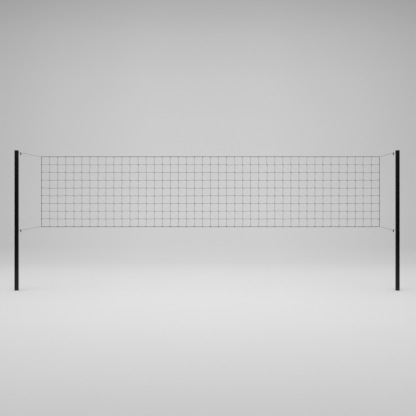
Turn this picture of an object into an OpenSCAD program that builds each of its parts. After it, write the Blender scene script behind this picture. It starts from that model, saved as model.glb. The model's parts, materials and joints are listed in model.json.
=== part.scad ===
// Volleyball net on two free-standing square posts. Four drop-nose studs on the
// posts' inner faces hold the eyes of a head line and a foot line, and a knotted
// mesh is laced between the two lines. X runs along the net, Y through it and
// Z up. The origin is on the floor, midway between the posts.

/* [Posts] */
// Height of a post from the floor to the top of its cap
post_height = 2550; // [2000:10:3200]
// Width of the square tube
post_width = 65; // [50:1:90]
// Wall of the square tube
post_wall = 3; // [2:0.5:5]
// Outer corner radius of the square tube
post_corner = 6; // [5.5:0.5:9]

/* [Post caps] */
// Thickness of the cap's plate above the tube
cap_plate = 4; // [3:0.5:8]
// Depth of the cap's shank in the tube
cap_depth = 24; // [12:1:40]
// Wall of the cap's shank
cap_wall = 2; // [1.5:0.5:4]
// Gap between the cap's shank and the tube
cap_clear = 0.6; // [0.2:0.1:1]
// Number of sealing fins on the shank
cap_fins = 2; // [1:1:5]
// Thickness of a sealing fin
cap_fin = 1; // [0.5:0.5:2]
// Step round the cap's top edge
cap_step = 1; // [0.5:0.5:2]

/* [Post feet] */
// Thickness of the foot's plate under the tube, which is the thread's length
foot_plate = 16; // [10:1:25]
// Height of the foot's plug inside the tube
foot_plug = 24; // [15:1:60]
// Gap between the foot's plug and the tube
foot_clear = 0.2; // [0.1:0.1:1]
// Radius of the tapped anchor hole, an M12 tapping drill
anchor_r = 5.1; // [3:0.1:8]
// Radius of the clear hole above the thread
anchor_relief_r = 9; // [8.5:0.5:15]

/* [Hook studs] */
// Distance from the top of a post down to its upper stud's axis
hook_drop = 50; // [40:1:400]
// Distance from the foot line down to the lower studs' axis
hook_fall = 62; // [20:1:300]
// Distance from the post's face to the nose's pivot
hook_reach = 43.5; // [42:0.5:80]
// Radius of the stud
stud_r = 5; // [4:0.5:6]
// Length of the stud inside the post, behind the outer face
stud_tail = 22; // [19:1:28]
// Thickness of the flat tang at the stud's end
tang = 5; // [4:0.5:6]
// Gap between the nose's head and the shoulder where the tang begins
shoulder_gap = 1; // [0.5:0.5:4]

/* [Stud fixings] */
// Radius of the threaded insert's barrel
insert_r = 6.5; // [6.5:0.25:8]
// Length of the insert's barrel behind the post's outer face
insert_length = 18; // [14:1:20]
// Radius of the insert's flange
flange_r = 9.5; // [8.5:0.5:12]
// Thickness of the insert's flange
flange = 1.5; // [1:0.5:3]
// Radius of the crimp that grips the back of the wall
crimp_r = 8.25; // [8:0.25:10]
// Length of the crimp
crimp = 3; // [2:0.5:5]
// Radius of the washer
washer_r = 10; // [9:0.5:14]
// Thickness of the washer
washer = 2; // [1:0.5:3]
// Width of the lock nut across its flats
nut_flats = 17; // [15:1:22]
// Thickness of the lock nut
nut = 8; // [5:0.5:10]
// Gap all round where a thread turns or a barrel sits in its hole
thread_clear = 0.05; // [0.05:0.05:0.2]
// Gap all round between the washer and the stud
washer_clear = 0.25; // [0.1:0.05:0.5]

/* [Drop noses] */
// Radius of the nose's round head about its pivot
nose_head = 10; // [8:0.5:10]
// Length of the nose below its pivot
nose_drop = 41; // [25:1:50]
// Radius of the nose near its tip
nose_tip = 7; // [4.5:0.5:7.5]
// Bevel round the nose's tip
nose_round = 2.5; // [1:0.5:3.5]
// Radius of the cross pin
pin_r = 2; // [1.5:0.25:2.5]
// How far the cross pin's ends lie below the nose's surface
pin_recess = 0.5; // [0.2:0.1:2]
// Gap all round between the cross pin and the tang's hole
pin_clear = 0.05; // [0.02:0.01:0.1]
// Gap on each side of the tang in the nose's fork
fork_clear = 0.2; // [0.1:0.05:0.4]
// Gap between the tang and the fork's stops
stop_clear = 0.3; // [0.2:0.05:0.6]

/* [Net] */
// Distance from the upper studs' axis down to the head line
net_drop = 70; // [20:1:300]
// Distance between the head line and the foot line
net_depth = 1268; // [800:2:1600]
// Distance between the two side lines
net_width = 6144; // [4000:2:9600]
// Free length of the lines at the left, from a nose's pivot to the net, along X
left_tie = 380; // [150:2:1500]
// Free length of the lines at the right, from the net to a nose's pivot, along X
right_tie = 256; // [150:2:1500]
// Number of meshes along the net
mesh_columns = 29; // [10:1:33]
// Number of meshes down the net
mesh_rows = 9; // [3:1:9]
// Thickness of the mesh twine
twine = 4; // [2:0.1:5]
// Leg of the triangle that a knot adds beside a crossing
knot = 10; // [4:0.5:14]

/* [Lines] */
// Diameter of the head, foot and side lines
line_d = 4; // [2.6:0.1:4.2]
// Least gap between a line's eye and the stud
eye_clear = 0.3; // [0.2:0.05:1]
// Length of a line's ferrule
ferrule_length = 14; // [10:1:18]
// Wall of the ferrule
ferrule_wall = 1; // [0.6:0.1:2]
// Gap between the two strands in a ferrule
strand_gap = 0.5; // [0.3:0.1:1]
// Gap all round a line in its ferrule
ferrule_clear = 0.05; // [0:0.05:0.2]
// Radius of the knot that ties the lines together at a corner of the net
corner_knot = 6.5; // [5.5:0.25:9]

/* [Hidden] */
// Facets of round pieces, the noses, small corners and ferrules, and the corner knots
$fn = 26;
NOSE_FACETS = 32;
SMALL_FACETS = 16;
KNOT_FACETS = 8;
LINE_SIDES = 8;

SIDES = [-1, 1];
// How far a cut runs past the faces that it opens
PAST = 1;

// The noses' pivots are as far apart as the net and its free lines are long
hook_x = (left_tie + net_width + right_tie) / 2;
post_x = hook_x + hook_reach + post_width / 2;
net_ends = [left_tie - hook_x, hook_x - right_tie];
upper_hook = post_height - hook_drop;
net_top = upper_hook - net_drop;
net_bottom = net_top - net_depth;
lower_hook = net_bottom - hook_fall;

tube_bottom = foot_plate;
tube_top = post_height - cap_plate;
inner_width = post_width - 2 * post_wall;
inner_corner = post_corner - post_wall;

// Places along a stud, from the nose's pivot back towards the post
shoulder = -nose_head - shoulder_gap;
wall_face = -hook_reach;
washer_face = wall_face + flange;
nut_face = washer_face + washer;
nut_end = nut_face + nut;

// The middle of each line and the edge that the mesh shares with it. A line has
// flat sides, so its flats lie nearer to its middle than its corners.
line_r = line_d / 2;
line_flat = line_r * cos(180 / LINE_SIDES);

// Half the angle that a nose's straight cheeks take up round its pivot
CHEEK = 18;

// Half the distance between the two strands that lie side by side in a ferrule
STRAND = line_r + strand_gap / 2;
// An eye's half outline in its own plane, as [along the line, across it]. It goes
// from the bight behind the nose, round the nose, to the ferrule.
EYE_RADIUS = 11.8;
EYE = [
  [-EYE_RADIUS, 0], [-10.2, 5.9], [-5.9, 10.2], [0, EYE_RADIUS], [20, EYE_RADIUS],
  [40, EYE_RADIUS], [48, 10.4], [56, 7.6], [64, 4.9], [72, 2.9], [78, STRAND], [84, STRAND],
];
// Where the ferrule starts along the eye
FERRULE_START = 80;
// The line's cut end, just past the ferrule, and the bend of the other strand
// back to the middle
TAIL = [97, STRAND];
LEAD = [[97, -STRAND], [104, -1.3], [112, 0]];
// Points past an end of the net, where the line bends up or down to its stud
BEND = 12;

// ---- Posts -----------------------------------------------------------------

// A square outline with round corners
module rounded_square(width, corner) {
  half = width / 2 - corner;
  square([width, 2 * half], center = true);
  square([2 * half, width], center = true);
  for (x = SIDES, y = SIDES) translate([x * half, y * half])
    circle(r = corner, $fn = SMALL_FACETS);
}

module at_post(side) {
  translate([side * post_x, 0, 0]) children();
}

// A post is a square steel tube with a round hole in its inner wall at each hook
module post(side) {
  color([0.06, 0.06, 0.065]) difference() {
    at_post(side) translate([0, 0, tube_bottom])
      linear_extrude(tube_top - tube_bottom) difference() {
        rounded_square(post_width, post_corner);
        rounded_square(inner_width, inner_corner);
      }
    for (height = [upper_hook, lower_hook]) at_hook(side, height)
      along_stud(wall_face - post_wall - PAST, wall_face + PAST, insert_r + thread_clear);
  }
}

// A moulded plug with a plate as wide as the tube, and sealing fins on its shank
module cap(side) {
  shank = inner_width - 2 * cap_clear;
  shank_corner = inner_corner - cap_clear;
  color([0.05, 0.05, 0.05]) at_post(side) translate([0, 0, tube_top]) {
    linear_extrude(cap_plate - cap_step) rounded_square(post_width, post_corner);
    linear_extrude(cap_plate)
      rounded_square(post_width - 2 * cap_step, post_corner - cap_step);
    translate([0, 0, -cap_depth]) linear_extrude(cap_depth) difference() {
      rounded_square(shank, shank_corner);
      square(shank - 2 * cap_wall, center = true);
    }
    for (fin = [1:cap_fins]) translate([0, 0, -cap_depth * fin / (cap_fins + 1)])
      linear_extrude(cap_fin) difference() {
        rounded_square(inner_width, inner_corner);
        square(shank - 2 * cap_wall, center = true);
      }
  }
}

// A steel foot whose plug is welded into the tube's lower end. Its plate is tapped
// for a ground anchor's stud, and the plug is bored wider, so the thread is short.
module foot(side) {
  plug = inner_width - 2 * foot_clear;
  color([0.06, 0.06, 0.065]) at_post(side) difference() {
    union() {
      linear_extrude(foot_plate) rounded_square(post_width, post_corner);
      linear_extrude(foot_plate + foot_plug) rounded_square(plug, inner_corner - foot_clear);
    }
    translate([0, 0, -PAST]) cylinder(r = anchor_r, h = foot_plate + 2 * PAST);
    translate([0, 0, foot_plate]) cylinder(r = anchor_relief_r, h = foot_plug + PAST);
  }
}

// ---- Hook studs --------------------------------------------------------------

// Places children at a hook, whose origin is the nose's pivot, with +X to the net
module at_hook(side, height) {
  translate([side * hook_x, 0, height]) mirror([side > 0 ? 1 : 0, 0, 0]) children();
}

module at_hooks() {
  for (side = SIDES, height = [upper_hook, lower_hook]) at_hook(side, height) children();
}

// A round bar along the stud's axis between two places on it
module along_stud(from, to, r) {
  translate([from, 0, 0]) rotate([0, 90, 0]) cylinder(r = r, h = to - from);
}

// A round bar along the nose's pivot
module across_stud(r, length) {
  rotate([90, 0, 0]) cylinder(r = r, h = length, center = true);
}

// The threaded inserts, each crimped into a post's wall
module hook_inserts() {
  inside = wall_face - post_wall;
  color([0.75, 0.76, 0.78]) at_hooks() difference() {
    union() {
      along_stud(wall_face, washer_face, flange_r);
      along_stud(wall_face - insert_length, wall_face, insert_r);
      along_stud(inside - crimp, inside, crimp_r);
    }
    along_stud(wall_face - insert_length - PAST, washer_face + PAST, stud_r + thread_clear);
  }
}

module hook_washers() {
  color([0.72, 0.73, 0.75]) at_hooks() difference() {
    along_stud(washer_face, nut_face, washer_r);
    along_stud(washer_face - PAST, nut_face + PAST, stud_r + washer_clear);
  }
}

module hook_lock_nuts() {
  color([0.75, 0.76, 0.78]) at_hooks() difference() {
    translate([nut_face, 0, 0]) rotate([0, 90, 0])
      cylinder(r = nut_flats / 2 / cos(30), h = nut, $fn = 6);
    along_stud(nut_face - PAST, nut_end + PAST, stud_r + thread_clear);
  }
}

// A zinc-plated rod. Its last stretch is milled to a flat tang, rounded about the
// pivot, with a hole for the nose's cross pin.
module stud(side, height) {
  color([0.72, 0.73, 0.75]) at_hook(side, height) difference() {
    union() {
      along_stud(wall_face - stud_tail, shoulder, stud_r);
      intersection() {
        along_stud(shoulder, stud_r, stud_r);
        union() {
          translate([shoulder, -tang / 2, -stud_r]) cube([-shoulder, tang, 2 * stud_r]);
          across_stud(stud_r, tang);
        }
      }
    }
    across_stud(pin_r + pin_clear, 2 * stud_r);
  }
}

// A moulded nose that hangs from its cross pin and forks over the tang. Its long
// end hangs down at rest, and lifts towards the net to lie in line with the stud.
// The fork's floor and front wall are the stops.
module nose(side, height) {
  stop = stud_r + stop_clear;
  fork = tang + 2 * fork_clear;
  tip = [
    [0, -nose_drop], [nose_tip - nose_round, -nose_drop], [nose_tip, nose_round - nose_drop]
  ];
  head = [for (turn = [-CHEEK:2 * CHEEK:90]) nose_head * [cos(turn), sin(turn)]];
  color([0.04, 0.04, 0.04]) at_hook(side, height) difference() {
    rotate_extrude($fn = NOSE_FACETS) polygon(concat(tip, head));
    translate([-2 * nose_head, -fork / 2, -stop]) cube([2 * nose_head + stop, fork, 3 * nose_head]);
    across_stud(pin_r, 3 * nose_head);
  }
}

// A steel cross pin pressed into the nose, with its ends just under the surface
module pin(side, height) {
  color([0.7, 0.71, 0.73]) at_hook(side, height)
    across_stud(pin_r, 2 * (nose_head * cos(CHEEK) - pin_recess));
}

// ---- Net -----------------------------------------------------------------------

// A sheet with a gap for each mesh. Each gap's upper left corner is cut off, so that
// every crossing is thicker below and to the right of its middle, as a knot makes it.
module net_mesh() {
  low = [net_ends[0] + line_flat, net_bottom + line_flat];
  high = [net_ends[1] - line_flat, net_top - line_flat];
  pitch = [(high[0] - low[0] - twine) / mesh_columns, (high[1] - low[1] - twine) / mesh_rows];
  outline = [low, [high[0], low[1]], high, [low[0], high[1]]];
  gaps = [
    for (column = [0:mesh_columns - 1], row = [0:mesh_rows - 1])
      let (
        a = [low[0] + twine + column * pitch[0], low[1] + twine + row * pitch[1]],
        b = [a[0] + pitch[0] - twine, a[1] + pitch[1] - twine]
      )
      each [a, [b[0], a[1]], b, [a[0] + knot, b[1]], [a[0], b[1] - knot]]
  ];
  count = mesh_columns * mesh_rows;
  color([0.07, 0.07, 0.07]) rotate([90, 0, 0]) linear_extrude(twine, center = true) polygon(
    concat(outline, gaps),
    concat([[0, 1, 2, 3]], [for (gap = [0:count - 1]) [for (k = [0:4]) 4 + 5 * gap + k]])
  );
}

// ---- Lines -----------------------------------------------------------------------

function unit(v) = v / norm(v);

// One ring of a line round a point, square to its direction
function ring(at, direction, up) =
  let (across = unit(cross(up, direction)), above = cross(direction, across))
  [
    for (k = [0:LINE_SIDES - 1])
      let (turn = (k + 0.5) * 360 / LINE_SIDES)
      at + line_r * (cos(turn) * across + sin(turn) * above)
  ];

// A tube along a route. The up vector is never in line with the route.
module line(route, up) {
  last = len(route) - 1;
  points = [
    for (i = [0:last]) each ring(
      route[i], unit(route[min(i + 1, last)] - route[max(i - 1, 0)]), up
    )
  ];
  n = LINE_SIDES;
  walls = [
    for (i = [0:last - 1], k = [0:n - 1])
      let (a = i * n + k, b = i * n + (k + 1) % n)
      each [[a, a + n, b], [b, a + n, b + n]]
  ];
  ends = [[for (k = [0:n - 1]) k], [for (k = [n - 1:-1:0]) last * n + k]];
  color([0.08, 0.08, 0.08]) polyhedron(points, concat(walls, ends), convexity = 10);
}

// Where a line bends from the net's edge to its stud: +1 is the right-hand end
function corner(side, z) = [net_ends[side > 0 ? 1 : 0], 0, z];
// How a line falls from its stud to the net's corner, as an angle
function slope(side, height, z) = atan2(abs(height - z), abs(corner(side, z)[0] - side * hook_x));
// The middle of an eye. The upper eyes lie on their studs and the lower ones under.
function eye_rise(side, height, z) =
  stud_r + eye_clear + line_r - EYE_RADIUS * sin(slope(side, height, z));
function eye_middle(side, height, z) =
  [side * hook_x, 0, height + sign(height - z) * eye_rise(side, height, z)];
// A point of an eye's plane, which runs from the eye's middle to the net's corner
function eye_point(side, height, z, p) =
  eye_middle(side, height, z)
  + p[0] * unit(corner(side, z) - eye_middle(side, height, z)) + [0, p[1], 0];

// The eye from the cut end round to the lead that goes to the net
function eye_outline() = concat(
  [TAIL],
  [for (i = [len(EYE) - 1:-1:1]) EYE[i]],
  [for (p = EYE) [p[0], -p[1]]],
  LEAD
);

function eye_route(side, height, z) =
  [for (p = eye_outline()) eye_point(side, height, z, p)];

function reversed(list) = [for (i = [len(list) - 1:-1:0]) list[i]];

// A line from its left eye, along an edge of the net, to its right eye
module edge_line(height, z) {
  line(
    concat(
      eye_route(-1, height, z),
      [
        corner(-1, z) - BEND * unit(corner(-1, z) - eye_middle(-1, height, z)),
        corner(-1, z) + [BEND, 0, 0],
        corner(1, z) - [BEND, 0, 0],
        corner(1, z) - BEND * unit(corner(1, z) - eye_middle(1, height, z)),
      ],
      reversed(eye_route(1, height, z))
    ),
    [0, 0, 1]
  );
}

// A line down an end of the net, tied to the head line and the foot line
module side_line(side) {
  end = net_ends[side > 0 ? 1 : 0];
  line([[end, 0, net_bottom + line_r], [end, 0, net_top - line_r]], [1, 0, 0]);
}

// Places children at each of a ferrule's two strands
module strands() {
  for (strand = SIDES) translate([0, strand * STRAND]) children();
}

// A pressed sleeve round the two strands at the end of each eye
module line_ferrules() {
  color([0.7, 0.71, 0.73])
    for (side = SIDES, edge = [[upper_hook, net_top], [lower_hook, net_bottom]]) {
      start = eye_point(side, edge[0], edge[1], [FERRULE_START, 0]);
      along = unit(corner(side, edge[1]) - start);
      translate(start) rotate([0, atan2(along[0], along[2]), 0]) linear_extrude(ferrule_length)
        difference() {
          union() {
            square([2 * (line_r + ferrule_wall), 2 * STRAND], center = true);
            strands() circle(r = line_r + ferrule_wall, $fn = SMALL_FACETS);
          }
          strands() circle(r = line_r + ferrule_clear, $fn = SMALL_FACETS);
        }
    }
}

// The knots where a side line is tied to the head line and the foot line
module corner_knots() {
  color([0.08, 0.08, 0.08])
    for (side = SIDES, z = [net_top, net_bottom]) translate(corner(side, z))
      sphere(r = corner_knot, $fn = KNOT_FACETS);
}

post(-1);  // left_post
post(1);  // right_post
cap(-1);  // left_cap
cap(1);  // right_cap
foot(-1);  // left_foot
foot(1);  // right_foot
hook_inserts();
hook_washers();
hook_lock_nuts();
stud(-1, upper_hook);  // upper_left_stud
stud(1, upper_hook);  // upper_right_stud
stud(-1, lower_hook);  // lower_left_stud
stud(1, lower_hook);  // lower_right_stud
nose(-1, upper_hook);  // upper_left_nose
nose(1, upper_hook);  // upper_right_nose
nose(-1, lower_hook);  // lower_left_nose
nose(1, lower_hook);  // lower_right_nose
pin(-1, upper_hook);  // upper_left_pin
pin(1, upper_hook);  // upper_right_pin
pin(-1, lower_hook);  // lower_left_pin
pin(1, lower_hook);  // lower_right_pin
net_mesh();
edge_line(upper_hook, net_top);  // head_line
edge_line(lower_hook, net_bottom);  // foot_line
side_line(-1);  // left_side_line
side_line(1);  // right_side_line
line_ferrules();
corner_knots();
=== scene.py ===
# Volleyball net on two free-standing square posts. The sections follow the set as it
# is put up: camera, lines, net, posts, hooks, and last the floor and the light.
import json
import math
import random

import bpy
import numpy as np
from mathutils import Matrix, Vector


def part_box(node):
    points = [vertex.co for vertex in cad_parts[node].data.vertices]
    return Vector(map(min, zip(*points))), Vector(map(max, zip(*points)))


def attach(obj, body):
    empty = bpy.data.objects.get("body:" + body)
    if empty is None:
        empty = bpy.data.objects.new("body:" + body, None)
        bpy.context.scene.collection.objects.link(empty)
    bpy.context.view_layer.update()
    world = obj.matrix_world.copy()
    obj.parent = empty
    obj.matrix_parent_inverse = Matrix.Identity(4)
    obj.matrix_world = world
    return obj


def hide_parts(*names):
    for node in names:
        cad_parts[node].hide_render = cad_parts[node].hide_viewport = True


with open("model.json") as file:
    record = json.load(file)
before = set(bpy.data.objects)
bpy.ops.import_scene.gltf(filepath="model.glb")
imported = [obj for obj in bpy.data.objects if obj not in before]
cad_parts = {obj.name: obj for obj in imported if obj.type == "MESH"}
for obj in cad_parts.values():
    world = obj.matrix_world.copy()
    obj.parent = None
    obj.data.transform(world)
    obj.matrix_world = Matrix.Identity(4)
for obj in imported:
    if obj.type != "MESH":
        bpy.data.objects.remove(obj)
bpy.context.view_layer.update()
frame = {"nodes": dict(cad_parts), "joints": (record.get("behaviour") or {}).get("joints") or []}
nodes = frame["nodes"]
pivots = {joint["child"]: Vector(joint["pos_m"]) for joint in frame["joints"]}

# ---- Camera --------------------------------------------------------------------------
# The whole set is seen from one side of the court. The camera stands square to the net
# and level, at about a player's eye height.
EYE_HEIGHT = 1.5
STAND_BACK = 13.5
STAND_RIGHT = 0.017
FOCAL_LENGTH = 64.2
SENSOR_WIDTH = 36

camera = bpy.data.objects.new("camera", bpy.data.cameras.new("camera"))
camera.data.lens = FOCAL_LENGTH
camera.data.sensor_width = SENSOR_WIDTH
camera.location = (STAND_RIGHT, -STAND_BACK, EYE_HEIGHT)
camera.rotation_euler = (math.radians(90), 0, 0)
bpy.context.collection.objects.link(camera)
bpy.context.scene.camera = camera

# ---- Head line and foot line ---------------------------------------------------------
# Laid polyester cord, three strands twisted together. Each runs from a hook along
# an edge of the net to the other hook, and ends in an eye that lies round the hook.
LINE_DIAMETER = 0.004
LINE_TURN = 0.0135
LINE_STEP = LINE_TURN / 9
LINE_COLOUR = (0.02, 0.02, 0.021)
LINE_DEEP = (0.007, 0.007, 0.007)
# The radius of a cord's ring at each strand's crest and flanks
STRANDS = (1, 0.84, 0.84) * 3
# How far a sealed end draws in, at its tip and one ring before it
END_TAPER = (0.6, 0.94)
# Room left round each cord in the piece's flat plan
PLAN_MARGIN, ROW_MARGIN = 0.005, 0.05
NET_WIDTH, LEFT_TIE = 6.144, 0.380
NET_DEPTH, NET_DROP = 1.268, 0.070
STUD_RADIUS = 0.005
EYE_CLEAR = 0.0003
EYE_RADIUS = 0.0118
STRAND_GAP = 0.0005
LINE_BEND = 0.012

line_radius = LINE_DIAMETER / 2
strand = line_radius + STRAND_GAP / 2
# Half an eye's outline and the ends of its two strands, as (along the line, across it)
EYE = [
    (-EYE_RADIUS, 0), (-0.0102, 0.0059), (-0.0059, 0.0102), (0, EYE_RADIUS), (0.020, EYE_RADIUS),
    (0.040, EYE_RADIUS), (0.048, 0.0104), (0.056, 0.0076), (0.064, 0.0049), (0.072, 0.0029),
    (0.078, strand), (0.084, strand),
]
TAIL = (0.097, strand)
LEAD = [(0.097, -strand), (0.104, -0.0013), (0.112, 0)]

net_left = pivots["upper_left_drop"].x + LEFT_TIE
net_right = net_left + NET_WIDTH
net_top = pivots["upper_left_drop"].z - NET_DROP
net_bottom = net_top - NET_DEPTH


def through(points, step, fewest=4):
    """A rounded route through the points, in parts no longer than a step."""
    points = [Vector(p) for p in points]
    points = [2 * points[0] - points[1], *points, 2 * points[-1] - points[-2]]
    route = [points[1]]
    for a, b, c, d in zip(points, points[1:], points[2:], points[3:]):
        came, goes, then = ((q - p).length ** 0.5 for p, q in ((a, b), (b, c), (c, d)))
        leave = goes * ((b - a) / came - (c - a) / (came + goes) + (c - b) / goes)
        arrive = goes * ((c - b) / goes - (d - b) / (goes + then) + (d - c) / then)
        parts = max(fewest, math.ceil((c - b).length / step))
        for part in range(1, parts + 1):
            t = part / parts
            route.append(
                (2 * t**3 - 3 * t**2 + 1) * b + (t**3 - 2 * t**2 + t) * leave
                + (3 * t**2 - 2 * t**3) * c + (t**3 - t**2) * arrive
            )
    return np.array(route)


def in_even_steps(route, step):
    along = np.append(0, np.linalg.norm(np.diff(route, axis=0), axis=1).cumsum())
    even = np.linspace(0, along[-1], round(along[-1] / step) + 1)
    return np.stack([np.interp(even, along, route[:, k]) for k in range(3)], 1)


def mesh_object(name, points, faces, material=None, smooth_below=40):
    mesh = bpy.data.meshes.new(name)
    mesh.from_pydata(points, [], faces)
    mesh.shade_smooth()
    mesh.set_sharp_from_angle(angle=math.radians(smooth_below))
    piece = bpy.data.objects.new(name, mesh)
    bpy.context.collection.objects.link(piece)
    if material:
        mesh.materials.append(material)
    return piece


def cord_piece(name, routes, radius, ring, turn, material):
    """A cord along each route. Its rings twist once in each turn, as its strands do."""
    sides = len(ring)
    points, walls, ends, lay, plan = [], [], [], [], []
    first = 0
    for row, route in enumerate(routes):
        along = np.append(0, np.linalg.norm(np.diff(route, axis=0), axis=1).cumsum())
        ways = np.gradient(route, axis=0)
        ways /= np.linalg.norm(ways, axis=1)[:, None]
        across = np.empty_like(route)
        side = np.cross(ways[0], (0.3, 1, 0.2))
        for i, way in enumerate(ways):
            side = side - way * side.dot(way)
            side /= math.sqrt(side.dot(side))
            across[i] = side
        above = np.cross(ways, across)
        taper = np.ones(len(route))
        taper[[0, -1]], taper[[1, -2]] = END_TAPER
        angle = 2 * math.pi * (along[:, None] / turn + np.arange(sides) / sides)
        reach = (radius * taper[:, None] * np.array(ring))[:, :, None]
        points.append((
            route[:, None] + reach * np.cos(angle)[:, :, None] * across[:, None]
            + reach * np.sin(angle)[:, :, None] * above[:, None]
        ).reshape(-1, 3))
        i, k = np.divmod(np.arange((len(route) - 1) * sides), sides)
        a, b = first + i * sides + k, first + i * sides + (k + 1) % sides
        walls.append(np.stack([a, b, b + sides, a + sides], 1))
        length = along[np.stack([i, i, i + 1, i + 1], 1)]
        round_it = np.stack([k, k + 1, k + 1, k], 1) / sides
        lay.append(np.stack([length, round_it], 2).reshape(-1, 2))
        plan.append(np.stack([
            PLAN_MARGIN + (1 - 2 * PLAN_MARGIN) * length / along[-1],
            (row + ROW_MARGIN + (1 - 2 * ROW_MARGIN) * round_it) / len(routes),
        ], 2).reshape(-1, 2))
        last = first + (len(route) - 1) * sides
        ends += [list(range(first + sides - 1, first - 1, -1)), list(range(last, last + sides))]
        first = last + sides
    piece = mesh_object(
        name, np.concatenate(points), np.concatenate(walls).tolist() + ends, material, 180
    )
    for layer, places in (("lay", lay), ("OFBake", plan)):
        places = np.concatenate(places)
        whole = np.full((len(piece.data.loops), 2), places.mean(0))
        whole[:len(places)] = places
        piece.data.uv_layers.new(name=layer).uv.foreach_set("vector", whole.ravel())
    return piece


def new_material(name, **settings):
    """A material, its node tree and its shader, with the shader's own values set."""
    material = bpy.data.materials.new(name)
    material.use_nodes = True
    shader = material.node_tree.nodes["Principled BSDF"]
    for socket, value in settings.items():
        shader.inputs[socket.replace("_", " ").title().replace("Ior", "IOR")].default_value = value
    return material, material.node_tree, shader


def node(tree, kind, inputs=(), **settings):
    """A node with its settings. Each input is joined to a socket or given a value."""
    made = tree.nodes.new("ShaderNode" + kind)
    for name, value in settings.items():
        setattr(made, name, value)
    for name, value in dict(inputs).items():
        if isinstance(value, bpy.types.NodeSocket):
            tree.links.new(value, made.inputs[name])
        else:
            made.inputs[name].default_value = value
    return made


def colours(tree, amount, *stops):
    """A ramp between colours, each stop as (place, colour)."""
    ramp = node(tree, "ValToRGB", {"Fac": amount})
    for i, (place, colour) in enumerate(stops):
        stop = ramp.color_ramp.elements[i] if i < 2 else ramp.color_ramp.elements.new(place)
        stop.position, stop.color = place, (*colour, 1)
    return ramp.outputs["Color"]


def mixed(tree, amount, first, second, blend="MIX"):
    """A share of the second colour laid over the first."""
    inputs = {0: amount, 6: first, 7: second}
    return node(tree, "Mix", inputs, data_type="RGBA", blend_type=blend).outputs[2]


def multiplied(tree, first, second):
    return mixed(tree, 1, first, second, "MULTIPLY")


def twisted_fibre(name, light, deep, painted_groove_shade, turn, yarns, depth, **settings):
    """Fibre twisted in three strands. Its yarns run along the strands, painted shade darkens the
    grooves between the strands, and faint dust lies in patches."""
    material, tree, shader = new_material(name, **settings)
    lay = node(tree, "UVMap", uv_map="lay").outputs["UV"]
    place = node(tree, "SeparateXYZ", {"Vector": lay})
    along = node(tree, "Math", {0: place.outputs["X"], 1: turn}, operation="MULTIPLY")
    turned = node(tree, "Math", {0: place.outputs["Y"], 1: along.outputs[0]}, operation="ADD")
    half_turns = node(tree, "Math", {0: turned.outputs[0], 1: 3 * math.pi}, operation="MULTIPLY")
    wave = node(tree, "Math", {0: half_turns.outputs[0]}, operation="COSINE")
    crest = node(tree, "Math", {0: wave.outputs[0]}, operation="ABSOLUTE").outputs[0]
    slant = node(tree, "CombineXYZ", {"X": place.outputs["X"], "Y": turned.outputs[0]})
    drawn = node(tree, "Mapping", {"Vector": slant.outputs[0], "Scale": (220, yarns, 1)})
    yarn = node(tree, "TexNoise", {"Vector": drawn.outputs[0], "Scale": 1, "Detail": 3})
    patch = node(tree, "TexNoise", {"Scale": 9, "Detail": 4})
    body = colours(tree, yarn.outputs["Fac"], (0.32, deep), (0.68, light))
    # Painted shade: darker in the grooves between the strands
    shade = colours(tree, crest, (0, (painted_groove_shade,) * 3), (0.6, (1, 1, 1)))
    dust = colours(
        tree, patch.outputs["Fac"], (0.3, (0.85, 0.85, 0.86)), (0.75, (1.1, 1.09, 1.06))
    )
    tone = multiplied(tree, multiplied(tree, body, shade), dust)
    tree.links.new(tone, shader.inputs["Base Color"])
    relief = node(tree, "Math", {0: crest, 1: 3, 2: yarn.outputs["Fac"]}, operation="MULTIPLY_ADD")
    bump = node(tree, "Bump", {"Height": relief.outputs[0], "Distance": depth, "Strength": 0.6})
    tree.links.new(bump.outputs[0], shader.inputs["Normal"])
    return material


line_cord = twisted_fibre(
    "line_cord", LINE_COLOUR, LINE_DEEP, painted_groove_shade=0.5, turn=0, yarns=60, depth=0.00006,
    roughness=0.75, specular_ior_level=0.3,
)


def eye(side, height, edge):
    """The middle of an eye round a hook, the way from there to the corner of the net, and
    the route from the cut end to that corner. Upper eyes lie on their studs, lower ones under."""
    corner = Vector((net_right if side > 0 else net_left, 0, edge))
    hook = Vector((side * pivots["upper_right_drop"].x, 0, height))
    fall = math.atan2(abs(height - edge), abs(corner.x - hook.x))
    lift = STUD_RADIUS + EYE_CLEAR + line_radius - EYE_RADIUS * math.sin(fall)
    middle = hook + Vector((0, 0, math.copysign(lift, height - edge)))
    along = (corner - middle).normalized()
    outline = [TAIL, *EYE[:0:-1], *((x, -y) for x, y in EYE), *LEAD]
    route = [middle + x * along + Vector((0, y, 0)) for x, y in outline]
    return middle, along, [*route, corner - LINE_BEND * along]


def edge_line(name, replaced, height, edge):
    inset = Vector((LINE_BEND, 0, 0))
    left, right = eye(-1, height, edge)[2], eye(1, height, edge)[2]
    start, end = Vector((net_left, 0, edge)) + inset, Vector((net_right, 0, edge)) - inset
    straight = [start + inset, (start + end) / 2, end - inset]
    route = in_even_steps(
        through([*left, start, *straight, end, *reversed(right)], LINE_STEP), LINE_STEP
    )
    line = cord_piece(name, [route], line_radius, STRANDS, LINE_TURN, line_cord)
    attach(line, "net_set")
    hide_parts(replaced)


edge_line("head_line_cord", "head_line", pivots["upper_left_drop"].z, net_top)
edge_line("foot_line_cord", "foot_line", pivots["lower_left_drop"].z, net_bottom)

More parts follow.
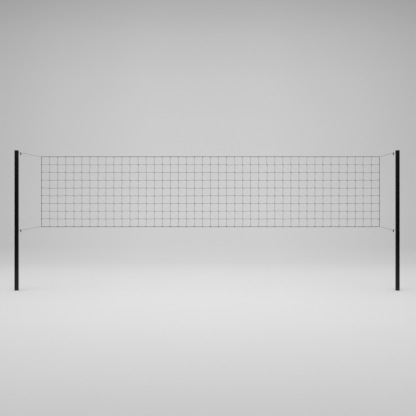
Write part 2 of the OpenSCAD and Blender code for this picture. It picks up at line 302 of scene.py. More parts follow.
# ---- Side lines ----------------------------------------------------------------------
# The same cord down each end of the net. Each end is tied to the head line or the
# foot line with a clove hitch, and its cut end is sealed with heat.
# A hitch from the standing side line to the cut end, in radii of the line: along the
# line that it is tied to, out of the net's plane, and in towards the net
HITCH = [
    (0, 0, 32), (0, -0.5, 12.8), (0, -1.75, 4.8), (0, -2.1, 2), (-0.15, -2.05, 0),
    (-0.5, -1.45, -1.45), (-0.9, 0, -2.05), (-1.35, 1.45, -1.45), (-1.75, 2.05, 0),
    (-2.1, 1.45, 1.5), (-2.3, 0, 2.15), (-2.3, -1.85, 2.1), (-1.9, -3.35, 1.45),
    (-0.5, -4.1, 0.3), (0.95, -3.5, -0.95), (1.75, -2.1, -1.9), (2.15, 0, -2.15),
    (2.25, 1.45, -1.45), (2.3, 2.05, 0), (2.25, 1.45, 1.45), (2.1, 0, 2.05), (1.85, -1.5, 1.5),
    (1.5, -2.15, 0.15), (1.2, -1.85, -1.5), (0.95, -1.6, -3.2), (0.9, -1.5, -6.4),
]


def side_line(name, replaced, x, inward):
    ends = [
        [
            Vector((x, 0, edge)) + line_radius * Vector((inward * t, y, down * n))
            for t, y, n in HITCH
        ]
        for edge, down in ((net_top, -1), (net_bottom, 1))
    ]
    route = in_even_steps(through([*reversed(ends[0]), *ends[1]], LINE_STEP), LINE_STEP)
    line = cord_piece(name, [route], line_radius, STRANDS, LINE_TURN, line_cord)
    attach(line, "net_set")
    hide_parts(replaced, "corner_knots")


side_line("left_side_cord", "left_side_line", net_left, 1)
side_line("right_side_cord", "right_side_line", net_right, -1)

# ---- Ferrules ------------------------------------------------------------------------
# A soft metal sleeve at the end of each eye, pressed in three bands until it grips
# both strands of the line.
FERRULE_START = 0.080
FERRULE_LENGTH = 0.014
FERRULE_WALL = 0.001
FERRULE_COLOUR = (0.16, 0.16, 0.165)
FERRULE_CLEAR = 0.00003
# Where the three bands lie, how deep they are, and one band's edges and floor as (offset,
# share of the depth)
BANDS = (0.0035, 0.007, 0.0105)
PRESSED = 0.0002
BAND_SHAPE = ((-0.0013, 0), (-0.0009, 1), (0.0009, 1), (0.0013, 0))
ARC = 12


def loft(rings, closed=False):
    """Points and faces of a skin over rings of as many points each. A closed one runs
    back to its first ring, and an open one is capped."""
    sides, last = len(rings[0]), len(rings) - 1
    points = [tuple(p) for ring in rings for p in ring]
    faces = []
    for i in range(last + 1 if closed else last):
        a, b = i * sides, (i + 1) % (last + 1) * sides
        for k in range(sides):
            l = (k + 1) % sides
            faces.append((a + k, a + l, b + l, b + k))
    if not closed:
        faces += [tuple(range(sides - 1, -1, -1)), tuple(range(last * sides, (last + 1) * sides))]
    return points, faces


def rolled(name, base, worn, roughness, grain, depth, **settings):
    """Bare or plated metal, with fine grain, faint stains and light wear."""
    material, tree, shader = new_material(name, metallic=1, **settings)
    fine = node(tree, "TexNoise", {"Scale": grain, "Detail": 5})
    stain = node(tree, "TexNoise", {"Scale": grain / 12, "Detail": 4})
    tree.links.new(
        colours(tree, stain.outputs["Fac"], (0.35, base), (0.7, worn)), shader.inputs["Base Color"]
    )
    low, high = roughness
    spread = node(tree, "MapRange", {
        "Value": fine.outputs["Fac"], "From Min": 0.3, "From Max": 0.7,
        "To Min": low, "To Max": high,
    })
    tree.links.new(spread.outputs[0], shader.inputs["Roughness"])
    bump = node(tree, "Bump", {"Height": fine.outputs["Fac"], "Distance": depth, "Strength": 0.5})
    tree.links.new(bump.outputs[0], shader.inputs["Normal"])
    return material


ferrule_metal = rolled(
    "ferrule_metal", FERRULE_COLOUR, (0.1, 0.1, 0.105), (0.4, 0.6), 900, 0.00004
)


def stadium(radius, x):
    """An oval round both strands, as a ring at x along the sleeve."""
    ring = []
    for centre, start in ((strand, -90), (-strand, 90)):
        for i in range(ARC + 1):
            turn = math.radians(start + 180 * i / ARC)
            ring.append((x, centre + radius * math.cos(turn), radius * math.sin(turn)))
    return ring


def ferrule(name, side, height, edge):
    outer = line_radius + FERRULE_WALL
    inner = line_radius + FERRULE_CLEAR
    rim = FERRULE_WALL / 3
    rings = [stadium(inner, 0), stadium(outer - rim, 0), stadium(outer - rim / 4, rim / 3),
             stadium(outer, rim)]
    for band in BANDS:
        for offset, share in BAND_SHAPE:
            rings.append(stadium(outer - share * PRESSED, band + offset))
    end = FERRULE_LENGTH
    rings += [stadium(outer, end - rim), stadium(outer - rim / 4, end - rim / 3),
              stadium(outer - rim, end), stadium(inner, end)]
    points, faces = loft(rings, closed=True)
    piece = mesh_object(name, points, faces, ferrule_metal, 35)
    middle, along, _ = eye(side, height, edge)
    turn = along.to_track_quat("X", "Z").to_matrix().to_4x4()
    piece.matrix_world = Matrix.Translation(middle + FERRULE_START * along) @ turn
    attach(piece, "net_set")
    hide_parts("line_ferrules")


for side, end in ((-1, "left"), (1, "right")):
    for level, edge in (("upper", net_top), ("lower", net_bottom)):
        height = pivots[f"{level}_{end}_drop"].z
        ferrule(f"{level}_{end}_ferrule", side, height, edge)

# ---- Net -----------------------------------------------------------------------------
# Twisted polyethylene twine in square meshes, with a sheet bend at every crossing. Each
# twine goes down the net in steps, and hitches to the lines. A twine along each edge lies
# outside the line, inside the hitches, and is wound round it on both sides of each one.
COLUMNS, ROWS = 42, 9
TWINE_DIAMETER = 0.004
TWINE_STEP = 0.009
TWINE_COLOUR = (0.018, 0.018, 0.019)
TWINE_DEEP = (0.006, 0.006, 0.006)
# How far the crossings hang down half-way, and how far they lie off their places: a whole
# column aside, a row's slow wave up and down, and each crossing by itself
SAG = 0.0045
COLUMN_DRIFT = 0.0022
ROW_WAVE, WAVES_ALONG = 0.0016, 2.3
UNEVEN = 0.0009
SLACK = 0.0016
# Both twines of a knot in radii of the twine: towards the lower right, towards the upper
# right and out to the front. The bight comes from above and leaves to the left. The other
# twine comes from below, goes round the bight's legs and leaves to the right.
BIGHT = [
    (-6.6, 3.5, 0), (-5.2, 2.55, 0), (-3.4, 1.7, 0), (-2.3, 1.6, 0), (-0.75, 1.65, 0),
    (1.7, 1.65, 0), (3, 1.1, 0), (3.55, 0, 0), (3, -1.1, 0), (1.7, -1.65, 0),
    (-0.75, -1.65, 0), (-2.3, -1.6, 0), (-3.35, -1.9, 0), (-5, -3.1, 0), (-6.2, -4.4, 0),
]
ROUND_IT = [
    (6.5, -3.4, 0), (5.1, -2.3, -0.4), (3.8, -1.55, -1.4), (3, -1, -1.85), (2.15, -0.45, -1.6),
    (1.5, -0.1, -0.75), (1.3, 0, 0.2), (1.35, 0.1, 1.4), (1.05, 0.5, 2.5), (0.15, 1.15, 3.1),
    (-0.75, 1.85, 2.9), (-1.6, 2.8, 2.15), (-2.05, 3.35, 0.85), (-2.3, 3.35, -0.55),
    (-2.35, 2.6, -1.6), (-2.35, 1.3, -1.85), (-2.35, 0, -1.95), (-2.3, -1.4, -1.85),
    (-2.15, -2.7, -1.5), (-1.95, -3.35, -0.45), (-1.6, -3.3, 0.75), (-1.1, -2.6, 1.6),
    (-0.55, -1.4, 1.8), (-0.2, -0.2, 1.6), (0, 0.75, 1.35), (0.6, 1.65, 1.65),
    (1.7, 2.45, 1.45), (2.65, 2.35, 1.35), (3.6, 2.55, 0.7), (4.7, 3.2, 0.15), (6.1, 4.4, 0),
]
# A twine's hitch to a line, and one turn of an edge twine round the line, both in radii
# of the twine: along the line, out of the net's plane, and in towards the net
TWINE_HITCH = [
    (0, 0, 9.6), (0, -1, 3.8), (0, -2.1, 0.1), (0.15, -2.15, -2.2), (0.4, -1.6, -3.7),
    (0.6, 0, -4.2), (0.85, 1.6, -3.7), (1, 2.15, -2.05), (1, 2.1, 0.1), (1.15, 1.35, 2.3),
    (1.9, -0.65, 3.3), (1.15, -2.5, 3.55), (-0.65, -2.85, 3.2), (-2, -1.6, 2.6),
    (-2.4, 0.35, 2.1), (-2.5, 2, 1.45), (-2.5, 2.85, -0.05),
]
EDGE_TURN = [
    (0, 0, -2.05), (0.5, -1.45, -1.45), (0.85, -2.1, 0), (1.1, -1.45, 1.45), (1.25, 0, 2.1),
    (1.5, 1.45, 1.45), (1.65, 2.1, 0), (2, 1.45, -1.45),
]
# An edge twine's cut end, in from its first or last turn
EDGE_END = [(-1.25, 2.85, -3.85), (-0.85, 1.65, -2.8)]
TURN_ADVANCE = 2.5
BESIDE_HITCH = (-5, 2.5)
EDGE_STARTS = 10
TWINE_RING = (1,) * 6
# The stepped twines in three pieces of about one size, counted from the right
NET_SPLITS = (17, 32)
RIGHT, UP = Vector((1, 0, 0)), Vector((0, 0, 1))

mesh_width, mesh_height = NET_WIDTH / COLUMNS, NET_DEPTH / ROWS
twine_radius = TWINE_DIAMETER / 2
net_twine = twisted_fibre(
    "net_twine", TWINE_COLOUR, TWINE_DEEP, painted_groove_shade=0.4, turn=90, yarns=40, depth=0.00012,
    roughness=0.6, specular_ior_level=0.25,
)
random.seed(12)
drift = [random.gauss(0, COLUMN_DRIFT) for _ in range(COLUMNS)]
waves = [random.uniform(0, 1) for _ in range(ROWS)]
uneven = {
    (column, row): Vector(random.gauss(0, UNEVEN) for _ in range(3))
    for column in range(1, COLUMNS) for row in range(1, ROWS)
}


def crossing(column, row):
    """The middle of a knot, or the place of a hitch on a line."""
    place = Vector((net_left + column * mesh_width, 0, net_top - row * mesh_height))
    if (column, row) in uneven:
        swing = math.sin(2 * math.pi * (WAVES_ALONG * column / COLUMNS + waves[row]))
        fall = ROW_WAVE * swing - SAG * math.sin(math.pi * row / ROWS)
        place += Vector((drift[column], 0, fall)) + uneven[column, row]
    return place


def in_knot(shape, place):
    half = math.sqrt(1 / 2)
    return [
        place + twine_radius * Vector(((p + q) * half, -h, (q - p) * half)) for p, q, h in shape
    ]


def on_edge(shape, place, along, inward):
    return [
        place + twine_radius * (t * along + n * inward + Vector((0, y, 0))) for t, y, n in shape
    ]


def strand_to(last, first):
    """The free twine from one crossing to the next, a little off straight half-way."""
    way = first - last
    slack = Vector(random.uniform(-SLACK, SLACK) for _ in range(3))
    return [last + way / 10, (last + first) / 2 + slack, first - way / 10]


def stepped_twine(column, row, from_top):
    """A twine from the top or the right edge, down and left to the bottom or left edge."""
    if from_top:
        route = on_edge(TWINE_HITCH, crossing(column, 0), RIGHT, -UP)[::-1]
    else:
        route = on_edge(TWINE_HITCH, crossing(COLUMNS, row), UP, -RIGHT)[::-1]
    down = from_top
    while 0 < column and row < ROWS:
        knot = in_knot(BIGHT if down else ROUND_IT[::-1], crossing(column, row))
        route += [*strand_to(route[-1], knot[0]), *knot]
        down = not down
        column, row = (column - 1, row) if not down else (column, row + 1)
    place = crossing(column, row)
    if down:
        hitch = on_edge(TWINE_HITCH, place, RIGHT, UP)
    else:
        hitch = on_edge(TWINE_HITCH, place, UP, RIGHT)
    return through(route + strand_to(route[-1], hitch[0]) + hitch, TWINE_STEP, 2)


def edge_twine(start, along, inward, spacing, count):
    """A twine beside a line, wound round it at both ends and beside each hitch."""
    length = spacing * count / twine_radius
    turns = [EDGE_STARTS + TURN_ADVANCE * i for i in range(3)]
    turns += [
        spacing * i / twine_radius + offset for i in range(1, count) for offset in BESIDE_HITCH
    ]
    turns += [length - EDGE_STARTS - TURN_ADVANCE * i for i in (3, 2, 1)]
    route = [(EDGE_STARTS + t, y, n) for t, y, n in EDGE_END]
    for turn in turns:
        route += [(turn + t, y, n) for t, y, n in EDGE_TURN]
        if turn not in (turns[0], turns[1], turns[-3], turns[-2]):
            route.append((turn + TURN_ADVANCE, 0, EDGE_TURN[0][2]))
    route += [(length - EDGE_STARTS - t, y, n) for t, y, n in reversed(EDGE_END)]
    return through(on_edge(route, start, along, inward), TWINE_STEP, 2)


twines = [stepped_twine(COLUMNS - 1, row, False) for row in range(ROWS - 1, 0, -1)]
twines += [stepped_twine(column, 1, True) for column in range(COLUMNS - 1, 0, -1)]
edges = [
    edge_twine(crossing(0, 0), RIGHT, -UP, mesh_width, COLUMNS),
    edge_twine(crossing(0, ROWS), RIGHT, UP, mesh_width, COLUMNS),
    edge_twine(crossing(0, ROWS), UP, RIGHT, mesh_height, ROWS),
    edge_twine(crossing(COLUMNS, ROWS), UP, -RIGHT, mesh_height, ROWS),
]
for name, routes in (
    ("net_twines_right", twines[:NET_SPLITS[0]]),
    ("net_twines_middle", twines[NET_SPLITS[0]:NET_SPLITS[1]]),
    ("net_twines_left", twines[NET_SPLITS[1]:]), ("net_edge_twines", edges),
):
    net = cord_piece(name, routes, twine_radius, TWINE_RING, math.inf, net_twine)
    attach(net, "net_set")
    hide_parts("net_mesh")

# ---- Posts and feet ------------------------------------------------------------------
# Square steel tube, powder coated black with a fine orange-peel skin. The foot is
# welded into the tube's lower end and coated with it, and picks up dust from the floor.
COAT_TINT = (1, 1, 1.04)
STREAKS = (0.75, 1.3)
COAT_ROUGHNESS = (0.44, 0.6)
# The coat's tone by height, a painted reflection of the floor and the room: darkest 1.6 m up, and
# lighter towards the floor and the top
COAT_PAINTED_REFLECTION_BY_HEIGHT = [
    (0, 0.0165), (0.22, 0.013), (0.36, 0.01), (0.51, 0.006), (0.75, 0.0028), (1, 0.0012),
    (1.6, 0.0009), (2.1, 0.0028), (2.55, 0.0056),
]
FLOOR_DUST = (0.05, 0.049, 0.047)
DUST_HEIGHT = 0.16


def toned(tree, value, table):
    """A tone looked up along a table of (place, tone)."""
    low, high = table[0][0], table[-1][0]
    share = node(tree, "MapRange", {"Value": value, "From Min": low, "From Max": high})
    stops = [((place - low) / (high - low), (tone,) * 3) for place, tone in table]
    return colours(tree, share.outputs[0], *stops)


post_coat, tree, shader = new_material("post_coat", roughness=0.5, specular_ior_level=0.08)
peel = node(tree, "TexNoise", {"Scale": 420, "Detail": 2, "Roughness": 0.4})
drawn = node(tree, "Mapping", {
    "Vector": node(tree, "TexCoord").outputs["Object"], "Scale": (60, 60, 2.2)
})
streaks = node(tree, "TexNoise", {"Vector": drawn.outputs[0], "Scale": 1, "Detail": 5})
lightened = node(tree, "MapRange", {
    "Value": streaks.outputs["Fac"], "From Min": 0.35, "From Max": 0.72,
    "To Min": STREAKS[0], "To Max": STREAKS[1],
})
height = node(tree, "SeparateXYZ", {"Vector": node(tree, "NewGeometry").outputs["Position"]})
# The black coat with its painted reflection of the floor and the room, lighter towards the floor
# and the top
coat_and_painted_reflection = multiplied(tree, toned(tree, height.outputs["Z"], COAT_PAINTED_REFLECTION_BY_HEIGHT), (*COAT_TINT, 1))
coat_and_painted_reflection = multiplied(tree, coat_and_painted_reflection, lightened.outputs[0])
near_floor = node(tree, "MapRange", {
    "Value": height.outputs["Z"], "From Min": 0, "From Max": DUST_HEIGHT, "To Min": 1, "To Max": 0
})
specks = node(tree, "TexNoise", {"Scale": 70, "Detail": 6, "Roughness": 0.7})
dusty = node(tree, "Math", {
    0: near_floor.outputs[0], 1: specks.outputs["Fac"]
}, operation="MULTIPLY")
amount = node(tree, "MapRange", {
    "Value": dusty.outputs[0], "From Min": 0.3, "From Max": 0.75, "To Min": 0, "To Max": 0.7
})
tree.links.new(
    mixed(tree, amount.outputs[0], coat_and_painted_reflection, (*FLOOR_DUST, 1)), shader.inputs["Base Color"]
)
gloss = node(tree, "MapRange", {
    "Value": streaks.outputs["Fac"], "From Min": 0.3, "From Max": 0.7,
    "To Min": COAT_ROUGHNESS[0], "To Max": COAT_ROUGHNESS[1],
})
tree.links.new(gloss.outputs[0], shader.inputs["Roughness"])
bump = node(tree, "Bump", {"Height": peel.outputs["Fac"], "Distance": 0.00012, "Strength": 0.5})
tree.links.new(bump.outputs[0], shader.inputs["Normal"])

for name in ("left_post", "right_post", "left_foot", "right_foot"):
    steel = nodes[name].data
    steel.materials.clear()
    steel.materials.append(post_coat)

# ---- Post caps -----------------------------------------------------------------------
# Black polyethylene plugs, moulded with a softly crowned top and pushed into the tubes.
# Two thin fins round the hollow shank hold each one.
MM = 0.001
POST_WIDTH = 65
POST_TOP = 2.546
CAP_COLOUR = (0.009, 0.009, 0.009)
CORNER_STEPS = 6
# Up the mould, as (inset from the post's faces, corner radius, height above the tube) in
# millimetres
CAP_PROFILE = [
    (5.6, 1, -0.5), (5.6, 1, -24), (4.1, 2, -24), (3.6, 2.4, -23.5), (3.6, 2.4, -16),
    (3, 3, -15.8), (3, 3, -15.2), (3.6, 2.4, -15), (3.6, 2.4, -8), (3, 3, -7.8), (3, 3, -7.2),
    (3.6, 2.4, -7), (3.6, 2.4, 0), (0.3, 5.7, 0), (0, 6, 0.3), (0, 6, 2.2), (0.1, 5.9, 2.8),
    (0.5, 5.5, 3.3), (1.2, 4.9, 3.6), (2.4, 4.2, 3.75), (10, 3.4, 3.92), (24, 2, 4),
]

cap_plastic, tree, shader = new_material("cap_plastic", roughness=0.55, specular_ior_level=0.25)
grain = node(tree, "TexNoise", {"Scale": 900, "Detail": 3})
scuff = node(tree, "TexNoise", {"Scale": 40, "Detail": 6, "Roughness": 0.65})
tree.links.new(
    colours(tree, scuff.outputs["Fac"], (0.4, CAP_COLOUR), (0.75, (0.02, 0.02, 0.02))),
    shader.inputs["Base Color"],
)
bump = node(tree, "Bump", {"Height": grain.outputs["Fac"], "Distance": 0.00008, "Strength": 0.6})
tree.links.new(bump.outputs[0], shader.inputs["Normal"])


def rounded_square(inset, corner, z):
    half = POST_WIDTH / 2 - inset
    ring = []
    for turn, (x, y) in enumerate(((1, 1), (-1, 1), (-1, -1), (1, -1))):
        for i in range(CORNER_STEPS + 1):
            angle = math.radians(90 * turn + 90 / CORNER_STEPS * i)
            ring.append((
                MM * (x * (half - corner) + corner * math.cos(angle)),
                MM * (y * (half - corner) + corner * math.sin(angle)), MM * z,
            ))
    return ring


for name, side in (("left_cap", -1), ("right_cap", 1)):
    points, faces = loft([rounded_square(*line) for line in CAP_PROFILE])
    cap = mesh_object(name + "_moulded", points, faces, cap_plastic, 50)
    low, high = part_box(name)
    cap.location = ((low.x + high.x) / 2, 0, POST_TOP)
    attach(cap, "net_set")
    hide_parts(name)

# ---- Hook fixings --------------------------------------------------------------------
# Zinc-plated steel. A flanged insert is crimped into each hole in the posts' inner
# walls, and the hook's stud is screwed into it and held by a washer and a lock nut.
# Turned profiles are (out from the post's face, radius) in millimetres.
INSERT_PROFILE = [
    (-18, 5.05), (-18, 6.3), (-17.8, 6.5), (-6.3, 6.5), (-5.7, 7.5), (-4.8, 8.2), (-3.4, 8.25),
    (-3.1, 8), (-3.05, 6.5), (0, 6.5), (0, 9.4), (0.1, 9.5), (1.3, 9.5), (1.5, 9.3), (1.5, 5.5),
    (1.1, 5.05),
]
WASHER_PROFILE = [
    (1.5, 5.25), (1.5, 9.9), (1.6, 10), (3.3, 10), (3.5, 9.8), (3.5, 5.4), (3.4, 5.25),
]
NUT_PROFILE = [
    (3.5, 8.7), (4.1, 9.82), (8.6, 9.82), (9.2, 8.6), (9.4, 7.7), (10.6, 7.6), (11.2, 7.2),
    (11.5, 6.5), (11.5, 5.4), (11.3, 5.05), (3.7, 5.05), (3.5, 5.3),
]
# The post's face, along the stud from the nose's pivot
POST_FACE = -43.5
NUT_FLATS = 17
FIXING_SIDES = 48
ZINC = (0.6, 0.61, 0.63)
ZINC_DULL = (0.47, 0.48, 0.5)
HOOKS = [(level, end) for level in ("upper", "lower") for end in ("left", "right")]

zinc = rolled("zinc", ZINC, ZINC_DULL, (0.26, 0.42), 1100, 0.00003)


def at_hook(piece, level, end, body="net_set"):
    turned = Matrix.Rotation(math.pi if end == "right" else 0, 4, "Z")
    piece.matrix_world = Matrix.Translation(pivots[f"{level}_{end}_drop"]) @ turned
    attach(piece, body)


def turned(profile, sides, flats=None, start=POST_FACE):
    """Rings of a turned profile about the stud. Flats cut it to a hexagon."""
    rings = []
    for out, radius in profile:
        x = start + out
        ring = []
        for k in range(sides):
            angle = 2 * math.pi * k / sides
            reach = radius
            if flats:
                from_flat = (angle + math.pi / 6) % (math.pi / 3) - math.pi / 6
                reach = min(radius, flats / 2 / math.cos(from_flat))
            ring.append((x * MM, reach * MM * math.cos(angle), reach * MM * math.sin(angle)))
        rings.append(ring)
    return rings


for kind, profile, flats, replaced in (
    ("insert", INSERT_PROFILE, None, "hook_inserts"),
    ("washer", WASHER_PROFILE, None, "hook_washers"),
    ("lock_nut", NUT_PROFILE, NUT_FLATS, "hook_lock_nuts"),
):
    for level, end in HOOKS:
        points, faces = loft(turned(profile, FIXING_SIDES, flats), closed=True)
        piece = mesh_object(f"{level}_{end}_{kind}", points, faces, zinc, 28)
        at_hook(piece, level, end)
        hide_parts(replaced)

# ---- Studs ---------------------------------------------------------------------------
# A zinc-plated M10 rod, threaded at the post and plain under the line's eye. Its end is
# milled to a flat tang, rounded about the pivot and drilled for the nose's cross pin.
STUD = 5.0
THREAD_FROM, THREAD_TO = POST_FACE - 22, POST_FACE + 17
THREAD_PITCH, THREAD_DEPTH = 1.5, 0.9
# The thread's flanks, its rings in a turn, how it runs out, and the cone at the rod's end
FLANK_SLOPE, CREST_FLAT = 1.3, 0.15
THREAD_RINGS = 8
RUN_OUT = 1.5
CONE_TIP = STUD - THREAD_DEPTH - 0.2
# Where the plain part has rings, and the shoulder's bevel and place
PLAIN_RINGS = (THREAD_TO + 3, -18)
SHOULDER, SHOULDER_BEVEL = -11, 0.3
SHOULDER_FACE = 0.94
TANG = 5.0
# The tang's round end, as rings and degrees between them
TANG_RINGS, TANG_TURN = 8, 10.6
PIN_RADIUS, PIN_CLEAR = 2.0, 0.05
PIN_HOLE_SIDES = 32
STUD_SIDES = 36


def stud_ring(x, thread=0.0, across=STUD, reach=STUD):
    ring = []
    for k in range(STUD_SIDES):
        turn = k / STUD_SIDES
        radius = STUD
        if thread:
            phase = ((x - THREAD_FROM) / THREAD_PITCH - turn) % 1
            cut = min(1, max(0, FLANK_SLOPE * (1 - abs(2 * phase - 1)) - CREST_FLAT))
            radius -= thread * THREAD_DEPTH * cut
        radius = min(radius, CONE_TIP + (x - THREAD_FROM))
        y, z = radius * math.cos(2 * math.pi * turn), radius * math.sin(2 * math.pi * turn)
        ring.append((
            MM * x, MM * max(-across, min(across, y)), MM * max(-reach, min(reach, z))
        ))
    return ring


def evaluated(piece):
    """Applies a piece's modifiers to its mesh."""
    mesh = bpy.data.meshes.new_from_object(
        piece.evaluated_get(bpy.context.evaluated_depsgraph_get())
    )
    piece.modifiers.clear()
    piece.data = mesh
    return mesh


def drilled(piece, cutters):
    """Cuts the cutters out of a piece."""
    for cutter in cutters:
        cut = piece.modifiers.new("cut", "BOOLEAN")
        cut.object, cut.solver = cutter, "EXACT"
    evaluated(piece)
    for cutter in cutters:
        bpy.data.objects.remove(cutter)


def pin_hole(radius, half):
    """A round cutter along the nose's pivot."""
    rings = [
        [(radius * MM * math.cos(a), y * MM, -radius * MM * math.sin(a))
         for a in (2 * math.pi * k / PIN_HOLE_SIDES for k in range(PIN_HOLE_SIDES))]
        for y in (half, -half)
    ]
    return mesh_object("cutter", *loft(rings))


for level, end in HOOKS:
    steps = round((THREAD_TO - THREAD_FROM) / THREAD_PITCH * THREAD_RINGS)
    rings = []
    for i in range(steps + 1):
        x = THREAD_FROM + i * THREAD_PITCH / THREAD_RINGS
        rings.append(stud_ring(x, min(1, (THREAD_TO - x) / RUN_OUT)))
    rings += [stud_ring(x) for x in (*PLAIN_RINGS, SHOULDER - SHOULDER_BEVEL)]
    rings.append([
        (x + SHOULDER_BEVEL * MM, y * SHOULDER_FACE, z * SHOULDER_FACE) for x, y, z in rings[-1]
    ])
    rings += [stud_ring(x, across=TANG / 2) for x in (SHOULDER + 0.02, SHOULDER / 2, 0)]
    for i in range(1, TANG_RINGS + 1):
        turn = math.radians(i * TANG_TURN)
        rings.append(stud_ring(STUD * math.sin(turn), 0, TANG / 2, STUD * math.cos(turn)))
    piece = mesh_object(f"{level}_{end}_stud_bar", *loft(rings), zinc, 30)
    drilled(piece, [pin_hole(PIN_RADIUS + PIN_CLEAR, 8)])
    piece.data.set_sharp_from_angle(angle=math.radians(30))
    at_hook(piece, level, end)
    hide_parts(f"{level}_{end}_stud")

# ---- Drop noses ----------------------------------------------------------------------
# Satin black nylon filled with glass, moulded to a bullet with a fork through its head.
# It hangs from a steel pin pressed through the fork, and locks the eye on its stud. To
# free the eye, it is lifted in line with the stud.
NOSE_PROFILE = [
    (-41, 1.4), (-40.9, 2.8), (-40.5, 4.2), (-39.7, 5.4), (-38.6, 6.3), (-37, 6.85), (-34.5, 7.2),
    (-28, 7.68), (-20, 8.26), (-12, 8.83), (-5, 9.32), (-2, 9.5), (1, 9.52), (3.2, 9.32),
    (5.1, 8.45), (6.9, 7.05), (8.4, 5.3), (9.4, 3.2), (9.85, 1.4),
]
NOSE_SIDES = 64
FORK = 5.4
FORK_FLOOR = -5.3
FORK_FRONT = 5.3
FORK_EDGE = 0.35
# Half the cross pin, and its rounded end as (in from the tip, radius)
PIN_HALF = 9.0
PIN_END = ((0, 1.1), (0.15, 1.6), (0.5, 2))
PIN_SIDES = 32
NOSE_COLOUR = (0.008, 0.008, 0.0085)

nose_plastic, tree, shader = new_material("nose_plastic", roughness=0.42, specular_ior_level=0.3)
moulded = node(tree, "TexNoise", {"Scale": 1500, "Detail": 2})
handled = node(tree, "TexNoise", {"Scale": 160, "Detail": 6, "Roughness": 0.7})
tree.links.new(
    colours(tree, handled.outputs["Fac"], (0.4, NOSE_COLOUR), (0.75, (0.022, 0.022, 0.022))),
    shader.inputs["Base Color"],
)
bump = node(tree, "Bump", {"Height": moulded.outputs["Fac"], "Distance": 0.00005, "Strength": 0.5})
tree.links.new(bump.outputs[0], shader.inputs["Normal"])


def box_cutter(low, high):
    corners = [(x * MM, y * MM, z * MM) for x in (low[0], high[0]) for y in (low[1], high[1])
               for z in (low[2], high[2])]
    return mesh_object("cutter", corners, [
        (0, 1, 3, 2), (4, 6, 7, 5), (0, 4, 5, 1), (2, 3, 7, 6), (0, 2, 6, 4), (1, 5, 7, 3),
    ])


for level, end in HOOKS:
    rings = [
        [(r * MM * math.cos(a), r * MM * math.sin(a), z * MM)
         for a in (2 * math.pi * k / NOSE_SIDES for k in range(NOSE_SIDES))]
        for z, r in NOSE_PROFILE
    ]
    nose = mesh_object(f"{level}_{end}_drop_nose", *loft(rings), nose_plastic)
    slot = box_cutter((-20, -FORK / 2, FORK_FLOOR), (FORK_FRONT, FORK / 2, 24))
    drilled(nose, [slot, pin_hole(PIN_RADIUS, 12)])
    eased = nose.modifiers.new("eased", "BEVEL")
    eased.limit_method, eased.angle_limit = "ANGLE", math.radians(40)
    eased.width, eased.segments = FORK_EDGE * MM, 2
    evaluated(nose)
    nose.data.shade_smooth()
    nose.data.set_sharp_from_angle(angle=math.radians(32))
    body = f"{level}_{end}_drop"
    at_hook(nose, level, end, body)
    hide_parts(f"{level}_{end}_nose")

    rounded_end = [(PIN_HALF - inset, radius) for inset, radius in PIN_END]
    profile = [(-x, r) for x, r in rounded_end] + rounded_end[::-1]
    rings = [[(-y, x, z) for x, y, z in ring] for ring in turned(profile, PIN_SIDES, start=0)]
    pin = mesh_object(f"{level}_{end}_cross_pin", *loft(rings), zinc, 30)
    at_hook(pin, level, end, body)
    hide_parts(f"{level}_{end}_pin")

# ---- Floor, backdrop and light -------------------------------------------------------
# A matt pale studio floor that runs out to a seamless grey backdrop. The backdrop is
# only seen, and the light comes from an even white surround and one very soft lamp.
FLOOR_SIZE = 240
# Tone of the floor going back from the camera, by distance through the net's plane: a painted pool
# of light, lightest about the net and darker nearer the camera and further behind
FLOOR_PAINTED_LIGHT_BACK = [
    (-22, 0.61), (-8.3, 0.574), (-8.1, 0.578), (-6.8, 0.644), (-5.3, 0.694), (-3.7, 0.738),
    (-1.6, 0.761), (0.8, 0.753), (3.4, 0.714), (5, 0.683), (7.1, 0.638), (16, 0.61),
]
# Where the floor's near side ends, and its tones fade out as they do behind the net
FLOOR_FRONT = 9
# Tone of the floor going out to each side, as seen from the camera: painted shade, darker away
# from the middle
FLOOR_PAINTED_SHADE_SIDE = [(0, 1), (1.4, 0.985), (2.26, 0.955), (3.1, 0.925), (3.8, 0.89), (6, 0.87)]
# Tone of the backdrop by height of view, and then out to each side: painted shade, darker higher
# up and out to the sides
BACKDROP_PAINTED_SHADE_RISE = [
    (-0.075, 0.65), (-0.05, 0.61), (-0.01, 0.625), (0.058, 0.61), (0.118, 0.602), (0.17, 0.577),
    (0.221, 0.522), (0.268, 0.432), (0.5, 0.36),
]
BACKDROP_PAINTED_SHADE_SIDE = [(0, 1), (1.08, 1), (2.7, 0.905), (3.73, 0.81), (7.8, 0.79)]
# Where the floor takes on the backdrop's tones out to the sides, behind the net
MEETS_BACKDROP = (4, 14)
# Where it fades to one even tone far out at the sides, which is the backdrop's there
FADES_OUT = (4.2, 17)
FAR_TONE = (0.482, 0.482, 0.482, 1)
SURROUND = 0.7
LAMP = 1.25
LAMP_WIDTH = 70
LAMP_LEAN, LAMP_TURN = 38, -25

floor = mesh_object("floor", [
    (x * FLOOR_SIZE / 2, y * FLOOR_SIZE / 2, 0) for x, y in ((-1, -1), (1, -1), (1, 1), (-1, 1))
], [(0, 1, 2, 3)])
floor_with_painted_light, tree, shader = new_material("floor_with_painted_light", roughness=0.95, specular_ior_level=0.0)
place = node(tree, "SeparateXYZ", {"Vector": node(tree, "NewGeometry").outputs["Position"]})
nearer = node(tree, "Math", {0: -FLOOR_FRONT, 1: place.outputs["Y"]}, operation="SUBTRACT")
beyond = node(tree, "Math", {0: nearer.outputs[0], 1: place.outputs["Y"]}, operation="MAXIMUM")
behind = node(tree, "Math", {0: beyond.outputs[0], 1: 0}, operation="MAXIMUM")
gap = node(tree, "Math", {0: behind.outputs[0], 1: STAND_BACK}, operation="ADD")
narrowing = node(tree, "Math", {0: STAND_BACK, 1: gap.outputs[0]}, operation="DIVIDE")
out = node(tree, "Math", {0: place.outputs["X"]}, operation="ABSOLUTE")
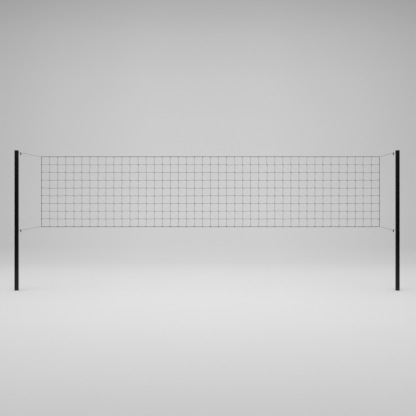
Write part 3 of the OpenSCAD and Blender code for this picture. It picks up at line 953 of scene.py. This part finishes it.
seen = node(tree, "Math", {0: out.outputs[0], 1: narrowing.outputs[0]}, operation="MULTIPLY")
meets = node(tree, "MapRange", {
    "Value": behind.outputs[0], "From Min": MEETS_BACKDROP[0], "From Max": MEETS_BACKDROP[1]
})
fades = node(tree, "MapRange", {
    "Value": seen.outputs[0], "From Min": FADES_OUT[0], "From Max": FADES_OUT[1]
}, interpolation_type="SMOOTHSTEP")
side_painted_shade = mixed(
    tree, meets.outputs[0], toned(tree, seen.outputs[0], FLOOR_PAINTED_SHADE_SIDE),
    toned(tree, seen.outputs[0], BACKDROP_PAINTED_SHADE_SIDE),
)
# The floor's painted light and shade: lightest about the net, darker towards the camera, far
# behind and out to the sides
floor_painted_light = multiplied(tree, toned(tree, place.outputs["Y"], FLOOR_PAINTED_LIGHT_BACK), side_painted_shade)
tree.links.new(
    mixed(tree, fades.outputs[0], floor_painted_light, FAR_TONE), shader.inputs["Base Color"]
)
floor.data.materials.append(floor_with_painted_light)

world = bpy.data.worlds.new("studio")
bpy.context.scene.world = world
world.use_nodes = True
tree = world.node_tree
tree.nodes.clear()
view = node(tree, "SeparateXYZ", {"Vector": node(tree, "TexCoord").outputs["Generated"]})
slant = node(tree, "Math", {0: view.outputs["X"], 1: view.outputs["Y"]}, operation="DIVIDE")
out = node(tree, "Math", {0: slant.outputs[0]}, operation="ABSOLUTE")
across = node(tree, "Math", {0: out.outputs[0], 1: STAND_BACK}, operation="MULTIPLY")
# The backdrop with its painted shade, darker higher up and out to the sides
backdrop = node(tree, "Background", {
    "Color": multiplied(
        tree, toned(tree, view.outputs["Z"], BACKDROP_PAINTED_SHADE_RISE),
        toned(tree, across.outputs[0], BACKDROP_PAINTED_SHADE_SIDE),
    ),
})
surround = node(tree, "Background", {"Color": (1, 1, 1, 1), "Strength": SURROUND})
ray = node(tree, "LightPath")
shown = node(tree, "Math", {
    0: ray.outputs["Is Camera Ray"], 1: ray.outputs["Is Glossy Ray"]
}, operation="MAXIMUM")
shown = node(tree, "Math", {
    0: shown.outputs[0], 1: ray.outputs["Is Transmission Ray"]
}, operation="MAXIMUM")
either = node(tree, "MixShader", {
    0: shown.outputs[0], 1: surround.outputs[0], 2: backdrop.outputs[0]
})
node(tree, "OutputWorld", {"Surface": either.outputs[0]})

lamp = bpy.data.objects.new("soft_lamp", bpy.data.lights.new("soft_lamp", "SUN"))
lamp.data.energy = LAMP
lamp.data.angle = math.radians(LAMP_WIDTH)
lamp.rotation_euler = (math.radians(LAMP_LEAN), 0, math.radians(LAMP_TURN))
bpy.context.collection.objects.link(lamp)

bpy.context.scene.view_settings.view_transform = "Standard"
